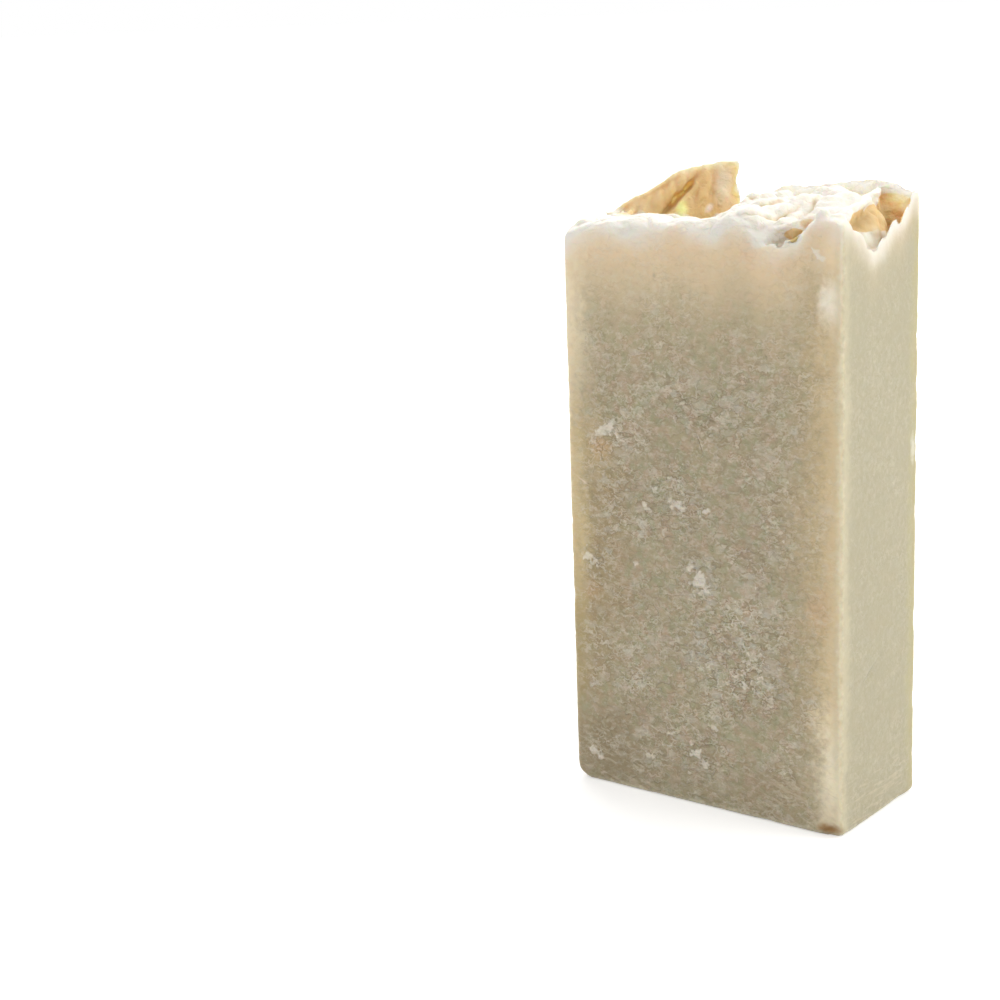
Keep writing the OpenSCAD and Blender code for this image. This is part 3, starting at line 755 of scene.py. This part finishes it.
# A mask for the dark grains and for the painted shade on the shavings
dark_grain_and_shade = number("MULTIPLY", torn, between(under_rim, 3.0, 20.0, 0.35, 1.0))
dark_grain_and_shade = number("MULTIPLY", dark_grain_and_shade, between(field_of("wall_near"), 1.0, 6.0, 0.35, 1.0))
colour = tinted(number("MULTIPLY", dark_grain_and_shade, between(crumb, 0.30, 0.48, 0.40, 0.0)), colour, (0.27, 0.210, 0.125))
colour = tinted(number("MULTIPLY", dark_grain_and_shade, between(small, 0.30, 0.48, 0.18, 0.0)), colour, (0.25, 0.195, 0.115))
colour = tinted(number("MULTIPLY", loose, between(small, 0.52, 0.70, 0.0, 0.46)), colour, (0.84, 0.78, 0.67))
curl = number("ABSOLUTE", number("SUBTRACT", grain(0.8, 1, 0.5, at=lean.outputs[0], seed=14), 0.5))
curl = number("MULTIPLY", between(curl, 0.0, 0.035, 1.0, 0.0), between(grain(1.6, 1, 0.5, seed=15), 0.48, 0.60))
colour = tinted(number("MULTIPLY", loose, number("MULTIPLY", curl, 0.5)), colour, (0.84, 0.78, 0.66))
shaving = grain(1.45, 2, 0.6, at=lean.outputs[0], seed=17)
# Painted light and shade: a lit band along one side of each shaving's outline and a shaded band along the other
shaving_lit = number("MULTIPLY", between(shaving, 0.50, 0.525), between(shaving, 0.545, 0.575, 1.0, 0.0))
shaving_shade = number("MULTIPLY", between(shaving, 0.435, 0.465), between(shaving, 0.475, 0.50, 1.0, 0.0))
colour = tinted(number("MULTIPLY", loose, number("MULTIPLY", shaving_lit, 0.46)), colour, (0.84, 0.78, 0.66))
colour = tinted(number("MULTIPLY", dark_grain_and_shade, number("MULTIPLY", number("MULTIPLY", shaving_shade, drift), 0.46)), colour, (0.27, 0.210, 0.125))


def chip_cells(size, keep):
    """Flakes that stay on the face: cells of a net, of which a few are pale, with their place and edge."""
    cells = nodes.new("ShaderNodeTexVoronoi")
    cells.inputs["Scale"].default_value = MM / size
    link(tree, lean.outputs[0], cells.inputs["Vector"])
    drawn = nodes.new("ShaderNodeSeparateColor")
    link(tree, cells.outputs["Color"], drawn.inputs[0])
    chosen = between(number("ADD", drawn.outputs[0], number("MULTIPLY", number("SUBTRACT", mottle, 0.5), 0.8)),
                     1 - keep, 1 - keep + 0.06)
    inside = number("ADD", cells.outputs["Distance"], number("MULTIPLY", number("SUBTRACT", small, 0.5), 1.1))
    inside = between(inside, 0.22, 0.58, 1.0, 0.0)
    return number("MULTIPLY", chosen, inside), drawn.outputs[1]


chips, chip_tone = chip_cells(1.5, 0.30)
colour = tinted(number("MULTIPLY", number("MULTIPLY", loose, chips), 0.55), colour,
                tinted(chip_tone, (0.74, 0.69, 0.56), (0.62, 0.61, 0.53)))
large_chips, _ = chip_cells(3.2, 0.16)
colour = tinted(number("MULTIPLY", number("MULTIPLY", loose, large_chips), 0.35), colour, (0.74, 0.70, 0.62))
streaks = grain(1.0, 2, 0.5, at=placed((0, 0, 0), (3500.0, 3500.0, 500.0), (0, 18, 0)), seed=2)
low_down = between(field_of("height"), 4.0, 14.0, 1.0, 0.0)
colour = tinted(number("MULTIPLY", low_down, between(streaks, 0.52, 0.68, 0.0, 0.45)), colour, (0.66, 0.58, 0.43))
for centre, reach, turn, tone, strength, ragged in (
    ((0.3, -12.5, 59.5), (0.17, 1.5, 2.6), (0, -21, 0), (0.20, 0.12, 0.06), 0.85, 0.35),
    ((2.4, -12.5, 63.6), (1.3, 1.5, 0.34), (0, 22, 0), (0.27, 0.21, 0.12), 0.75, 0.4),
    ((-22.0, -12.5, 51.4), (1.8, 1.5, 0.26), (0, 29, 0), (0.80, 0.67, 0.54), 0.8, 0.4),
    ((-7.6, -12.5, 85.4), (0.45, 1.5, 0.5), (0, 0, 0), (0.48, 0.40, 0.27), 0.5, 0.3),
    ((25, -3.4, 24.4), (1.5, 4.3, 0.16), (28, 0, 0), (0.30, 0.26, 0.17), 0.85, 0.2),
    ((25, 10.4, 57.5), (1.5, 1.0, 3.6), (0, 0, 0), (0.80, 0.78, 0.66), 0.6, 1.6),
    ((25, 0.4, 88), (1.5, 2.0, 3.0), (0, 0, 0), (0.60, 0.56, 0.44), 0.3, 0.9),
):
    colour = marked(colour, centre, reach, tone, strength, turn, ragged)

# Rims and edges: ash creeps a little way down from the rim, with a painted highlight along it, and the edges are
# painted paler as a painted highlight along them
edge = number("ADD", field_of("edge_near"), number("MULTIPLY", number("SUBTRACT", speck, 0.5), 1.9))
painted_edge_highlight = number("MULTIPLY", between(edge, 0.1, 1.2, 0.7, 0.0), between(field_of("far_edge"), 0.0, 1.0, 1.0, 0.25))
colour = tinted(painted_edge_highlight, colour, (0.86, 0.79, 0.60))
colour = marked(colour, (22.8, -12.5, 1.1), (2.7, 3.0, 1.7), (0.35, 0.185, 0.055), 1.0, (0, 0, 0), 0.6)
rim_ash_and_highlight = number("ADD", number("MULTIPLY", field_of("under_rim"), 1.0), number("MULTIPLY", number("SUBTRACT", grain(7, 2, 0.5, seed=12), 0.5), 7.0))
colour = tinted(between(rim_ash_and_highlight, -0.6, 4.2, 0.95, 0.0), colour, (0.90, 0.85, 0.76))

# The whipped top: white soda ash where the air reached it, painted darker and cream in the hollows and creases as
# painted shade, and gold that is partly raw soap and partly a painted glow of light through the thin soap
# Less ash lies in the hollows, which are painted darker and warmer as painted shade, and the creases are painted darker
# as painted shade
ash_and_shade = tinted(between(field_of("open_air"), 0.25, 0.80), (0.78, 0.68, 0.52), (0.86, 0.83, 0.76))
ash_and_shade = tinted(between(grain(1.8, 3, 0.6, seed=9), 0.42, 0.66, 0.0, 0.35), ash_and_shade, (0.84, 0.78, 0.67))
ash_and_shade = tinted(number("MULTIPLY", field_of("crease_shade"), 0.95), ash_and_shade, (0.76, 0.63, 0.42))
# Painted light on the gold: darker in the hollows and creases as painted shade, paler towards the top of the wave, and
# a painted highlight just under its crown
gold_tone = tinted(between(field_of("open_air"), 0.20, 0.75), (0.58, 0.36, 0.12), (0.78, 0.56, 0.27))
gold_tone = tinted(between(grain(3.0, 2, 0.5, seed=10), 0.40, 0.68, 0.0, 0.5), gold_tone, (0.84, 0.67, 0.40))
gold_tone = tinted(between(field_of("height"), 97.5, 101.0, 0.0, 0.6), gold_tone, (0.88, 0.74, 0.46))
gold_tone = tinted(number("MULTIPLY", field_of("crease_shade"), 0.62), gold_tone, (0.53, 0.33, 0.10))
gold_tone = tinted(between(field_of("under_crown"), 0.0, 1.3, 0.75, 0.0), gold_tone, (0.92, 0.82, 0.60))
gold_edge = number("ADD", field_of("gold"), number("MULTIPLY", number("SUBTRACT", speck, 0.5), 0.4))
top_colour = tinted(between(gold_edge, 0.30, 0.62), ash_and_shade, gold_tone)
# Painted glow: a bright yellow spot where the wave is thinnest, as if lit through from behind
top_colour = marked(top_colour, (-14.5, 6.6, 93.5), (1.35, 2.2, 2.4), (1.0, 0.95, 0.42), 1.0, (0, 0, 0), 0.3)
for centre, reach, tone, strength in (
    ((-9.2, 10.8, 97.5), (2.4, 3.0, 5.0), (0.82, 0.73, 0.56), 0.85),
    ((-20.8, 3.0, 94.3), (2.4, 2.4, 2.0), (0.82, 0.68, 0.46), 0.6),
    ((-23.0, 0.6, 93.1), (2.6, 2.4, 1.4), (0.93, 0.91, 0.86), 0.95),
    # Painted shade on the lump in the pocket at the right, and painted shade with a painted glow in the slit
    ((21.6, -0.4, 93.9), (2.6, 4.6, 2.4), (0.55, 0.375, 0.165), 0.9),
    ((15.4, -9.9, 92.3), (1.6, 2.0, 1.0), (0.74, 0.55, 0.25), 0.7),
    # Painted glow through the thin back wall of the pocket, gold low down and paler upwards to a painted highlight
    # along its top rim
    ((22.6, 11.8, 94.8), (1.5, 1.5, 1.7), (0.86, 0.79, 0.60), 0.8),
    ((20.2, 10.6, 93.5), (2.6, 2.4, 1.6), (0.72, 0.56, 0.24), 0.6),
    ((19.2, 11.3, 95.0), (2.8, 2.2, 1.6), (0.86, 0.70, 0.40), 0.8),
    ((20.8, 11.9, 95.7), (2.8, 2.0, 1.1), (0.92, 0.82, 0.62), 0.9),
    ((20.5, 11.9, 97.1), (3.6, 2.4, 1.1), (0.94, 0.92, 0.86), 0.95),
    # Painted shade in the fold at the bottom of the pocket
    ((23.2, 1.8, 91.5), (1.3, 2.6, 1.5), (0.68, 0.55, 0.36), 0.75),
):
    top_colour = marked(top_colour, centre, reach, tone, strength, (0, 0, 0), 0.4)
top_colour = marked(top_colour, (-10.9, 9.0, 93.6), (0.7, 1.5, 1.2), (0.90, 0.83, 0.72), 0.8, (0, 25, 0), 0.3)
colour = tinted(field_of("poured"), colour, top_colour)
flaked = number("ADD", field_of("chip"), number("MULTIPLY", number("SUBTRACT", number("ADD", small, crumb), 1.0), 0.8))
flaked = number("MULTIPLY", between(flaked, 0.15, 1.15), between(field_of("chip"), 0.0, 0.2))
colour = tinted(number("MULTIPLY", flaked, 0.78), colour, (0.88, 0.82, 0.71))

# The relief reads only the skin's fields and two grains, because a bump works out all that it reads three times
rough = number("MULTIPLY", side_on, number("ADD", number("MULTIPLY", field_of("drift"), 0.50), 0.34))
rough = number("MULTIPLY", rough, between(field_of("wall_near"), 0.5, 5.0, 0.50, 1.0))
rough = number("MULTIPLY", rough, between(field_of("under_rim"), 5.0, 50.0, 0.70, 1.0))
height = number("MULTIPLY", number("MULTIPLY", crumb, 2.0), number("ADD", number("MULTIPLY", rough, 0.9), 0.16))
torn_up = number("MULTIPLY", between(shaving, 0.40, 0.62), number("MULTIPLY", rough, side_on))
height = number("ADD", height, number("MULTIPLY", torn_up, 3.0))
bump = nodes.new("ShaderNodeBump")
bump.inputs["Strength"].default_value = 0.85
bump.inputs["Distance"].default_value = 0.00022
link(tree, height, bump.inputs["Height"])

soap_shader = nodes.new("ShaderNodeBsdfPrincipled")
link(tree, colour, soap_shader.inputs["Base Color"])
link(tree, bump.outputs[0], soap_shader.inputs["Normal"])
soap_shader.inputs["Roughness"].default_value = 0.55
soap_shader.inputs["Specular IOR Level"].default_value = 0.35
link(tree, between(field_of("thin"), 0.0, 1.0, 0.6, 0.0), soap_shader.inputs["Subsurface Weight"])
soap_shader.inputs["Subsurface Radius"].default_value = (1.0, 0.66, 0.36)
soap_shader.inputs["Subsurface Scale"].default_value = 0.0018
soap_out = nodes.new("ShaderNodeOutputMaterial")
link(tree, soap_shader.outputs[0], soap_out.inputs["Surface"])

soap = bpy.data.objects.new("soap", skin)
scene.collection.objects.link(soap)
skin.materials.clear()
skin.materials.append(soap_finish)
for face in skin.polygons:
    face.use_smooth = True
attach(soap, "root")
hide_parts("soap_bar")

# The flakes: curls and crumbs that the wire lifted and left pressed on the broad faces. They are slivers
# of the same soap, dried pale, in loose drifts beside the large ones above.


def flake_shape(index):
    """A thin irregular sliver with a low crown, a unit across, lying on its face."""
    outline = 9
    rim = [0.9 + 0.30 * math.sin(2.3 * k + 1.7 * index) + 0.2 * math.sin(5.1 * k + 0.9 * index) for k in range(outline)]
    turn = [2 * math.pi * k / outline for k in range(outline)]
    low = [(r * math.cos(a), r * math.sin(a), -0.10) for r, a in zip(rim, turn)]
    high = [(0.8 * r * math.cos(a), 0.8 * r * math.sin(a), 0.22 + 0.14 * math.sin(3 * a + index)) for r, a in zip(rim, turn)]
    crown = [(0.1 * math.sin(index), 0.1 * math.cos(index), 0.40)]
    after = [(k + 1) % outline for k in range(outline)]
    sides = [(k, j, outline + j, outline + k) for k, j in enumerate(after)]
    top = [(outline + k, outline + j, 2 * outline) for k, j in enumerate(after)]
    mesh = bpy.data.meshes.new("flake_%d" % index)
    mesh.from_pydata(low + high + crown, [], sides + top)
    return mesh


flake_kinds = bpy.data.collections.new("flake_kinds")
for index in range(4):
    flake_kinds.objects.link(bpy.data.objects.new("flake_%d" % index, flake_shape(index)))


def flake_scatter():
    """Flakes scattered over a patch, thicker where its drift number is high, and turned and sized at random."""
    group = bpy.data.node_groups.new("flake_scatter", "GeometryNodeTree")
    face = group.interface
    face.new_socket("Geometry", in_out="INPUT", socket_type="NodeSocketGeometry")
    face.new_socket("Kinds", in_out="INPUT", socket_type="NodeSocketCollection")
    face.new_socket("Finish", in_out="INPUT", socket_type="NodeSocketMaterial")
    for title, start in (("Most per Area", 0.2), ("Least Size", 0.3), ("Most Size", 0.9)):
        face.new_socket(title, in_out="INPUT", socket_type="NodeSocketFloat").default_value = start
    face.new_socket("Seed", in_out="INPUT", socket_type="NodeSocketInt").default_value = 1
    face.new_socket("Geometry", in_out="OUTPUT", socket_type="NodeSocketGeometry")
    nodes, links = group.nodes, group.links
    start = nodes.new("NodeGroupInput")
    end = nodes.new("NodeGroupOutput")
    drift = nodes.new("GeometryNodeInputNamedAttribute")
    drift.data_type = "FLOAT"
    drift.inputs["Name"].default_value = "drift"
    dense = nodes.new("ShaderNodeMath")
    dense.operation = "MULTIPLY"
    links.new(drift.outputs["Attribute"], dense.inputs[0])
    links.new(start.outputs["Most per Area"], dense.inputs[1])
    strewn = nodes.new("GeometryNodeDistributePointsOnFaces")
    links.new(start.outputs["Geometry"], strewn.inputs["Mesh"])
    links.new(dense.outputs[0], strewn.inputs["Density"])
    links.new(start.outputs["Seed"], strewn.inputs["Seed"])

    def chance(kind, low, high, shift):
        made = nodes.new("FunctionNodeRandomValue")
        made.data_type = kind
        slots = [s for s in made.inputs if s.enabled and s.name in ("Min", "Max")]
        slots[0].default_value, slots[1].default_value = low, high
        seed = nodes.new("ShaderNodeMath")
        seed.operation = "ADD"
        links.new(start.outputs["Seed"], seed.inputs[0])
        seed.inputs[1].default_value = shift
        links.new(seed.outputs[0], made.inputs["Seed"])
        return [s for s in made.outputs if s.enabled][0]

    tone = nodes.new("GeometryNodeStoreNamedAttribute")
    tone.data_type = "FLOAT"
    tone.domain = "POINT"
    tone.inputs["Name"].default_value = "chip"
    links.new(strewn.outputs["Points"], tone.inputs["Geometry"])
    links.new(chance("FLOAT", 0.0, 0.75, 1), tone.inputs["Value"])
    kinds = nodes.new("GeometryNodeCollectionInfo")
    links.new(start.outputs["Kinds"], kinds.inputs["Collection"])
    kinds.inputs["Separate Children"].default_value = True
    kinds.inputs["Reset Children"].default_value = True
    spin = nodes.new("FunctionNodeRotateRotation")
    spin.rotation_space = "LOCAL"
    links.new(strewn.outputs["Rotation"], spin.inputs["Rotation"])
    links.new(chance("FLOAT_VECTOR", (-0.14, -0.14, -3.14), (0.14, 0.14, 3.14), 2), spin.inputs["Rotate By"])
    spread = chance("FLOAT_VECTOR", (1.0, 0.45, 0.8), (1.4, 1.0, 1.2), 3)
    size = nodes.new("ShaderNodeMapRange")
    power = nodes.new("ShaderNodeMath")
    power.operation = "POWER"
    links.new(chance("FLOAT", 0.0, 1.0, 4), power.inputs[0])
    power.inputs[1].default_value = 3.0
    links.new(power.outputs[0], size.inputs["Value"])
    links.new(start.outputs["Least Size"], size.inputs["To Min"])
    links.new(start.outputs["Most Size"], size.inputs["To Max"])
    scale = nodes.new("ShaderNodeVectorMath")
    scale.operation = "SCALE"
    links.new(spread, scale.inputs[0])
    links.new(size.outputs["Result"], scale.inputs["Scale"])
    laid = nodes.new("GeometryNodeInstanceOnPoints")
    links.new(tone.outputs["Geometry"], laid.inputs["Points"])
    links.new(kinds.outputs["Instances"], laid.inputs["Instance"])
    laid.inputs["Pick Instance"].default_value = True
    links.new(spin.outputs["Rotation"], laid.inputs["Rotation"])
    links.new(scale.outputs[0], laid.inputs["Scale"])
    real = nodes.new("GeometryNodeRealizeInstances")
    links.new(laid.outputs["Instances"], real.inputs["Geometry"])
    finish = nodes.new("GeometryNodeSetMaterial")
    links.new(real.outputs["Geometry"], finish.inputs["Geometry"])
    links.new(start.outputs["Finish"], finish.inputs["Material"])
    links.new(finish.outputs["Geometry"], end.inputs["Geometry"])
    return group


def drift_patch(name, side):
    """A grid just under one broad face, with the thickness of the drifts at each of its points."""
    columns, rows = np.arange(-23, 23.1, 1.0), np.arange(3, 78.1, 1.0)
    places = np.array([(x, side * (HALF_DEPTH - 0.26), z) for x in columns for z in rows])
    tall = len(rows)
    faces = [
        (i * tall + j, (i + 1) * tall + j, (i + 1) * tall + j + 1, i * tall + j + 1)[::-side]
        for i in range(len(columns) - 1) for j in range(tall - 1)
    ]
    mesh = bpy.data.meshes.new(name)
    mesh.from_pydata([tuple(p) for p in places], [], faces)
    set_field(mesh, "drift", 0.03 + drifted(places[:, 0], places[:, 2], 1.0 if side < 0 else 0.5))
    return mesh


flake_settings = {"Kinds": flake_kinds, "Finish": soap_finish, "Most per Area": 0.42, "Least Size": 0.18, "Most Size": 0.50}
scatter = flake_scatter()
flakes_front = applied(drift_patch("front_patch", -1), "NODES", node_group=scatter, inputs={**flake_settings, "Seed": 4})
flakes_back = applied(drift_patch("back_patch", 1), "NODES", node_group=scatter, inputs={**flake_settings, "Seed": 9})
flakes = bmesh.new()
flakes.from_mesh(flakes_front)
flakes.from_mesh(flakes_back)
bmesh.ops.recalc_face_normals(flakes, faces=flakes.faces)
bmesh.ops.scale(flakes, vec=(1 / MM, 1 / MM, 1 / MM), verts=flakes.verts)
flake_mesh = bpy.data.meshes.new("flakes")
flakes.to_mesh(flake_mesh)
flakes.free()
set_field(flake_mesh, "thin", np.ones(len(flake_mesh.vertices)))
set_field(flake_mesh, "under_rim", np.full(len(flake_mesh.vertices), 30.0))
set_field(flake_mesh, "edge_near", np.full(len(flake_mesh.vertices), 9.0))
set_field(flake_mesh, "wall_near", np.full(len(flake_mesh.vertices), 9.0))
set_field(flake_mesh, "height", np.full(len(flake_mesh.vertices), 40.0))
flake_mesh.materials.clear()
flake_mesh.materials.append(soap_finish)
for face in flake_mesh.polygons:
    face.use_smooth = True
for kind in list(flake_kinds.objects):
    bpy.data.objects.remove(kind)
flake_piece = bpy.data.objects.new("flakes", flake_mesh)
scene.collection.objects.link(flake_piece)
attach(flake_piece, "root")
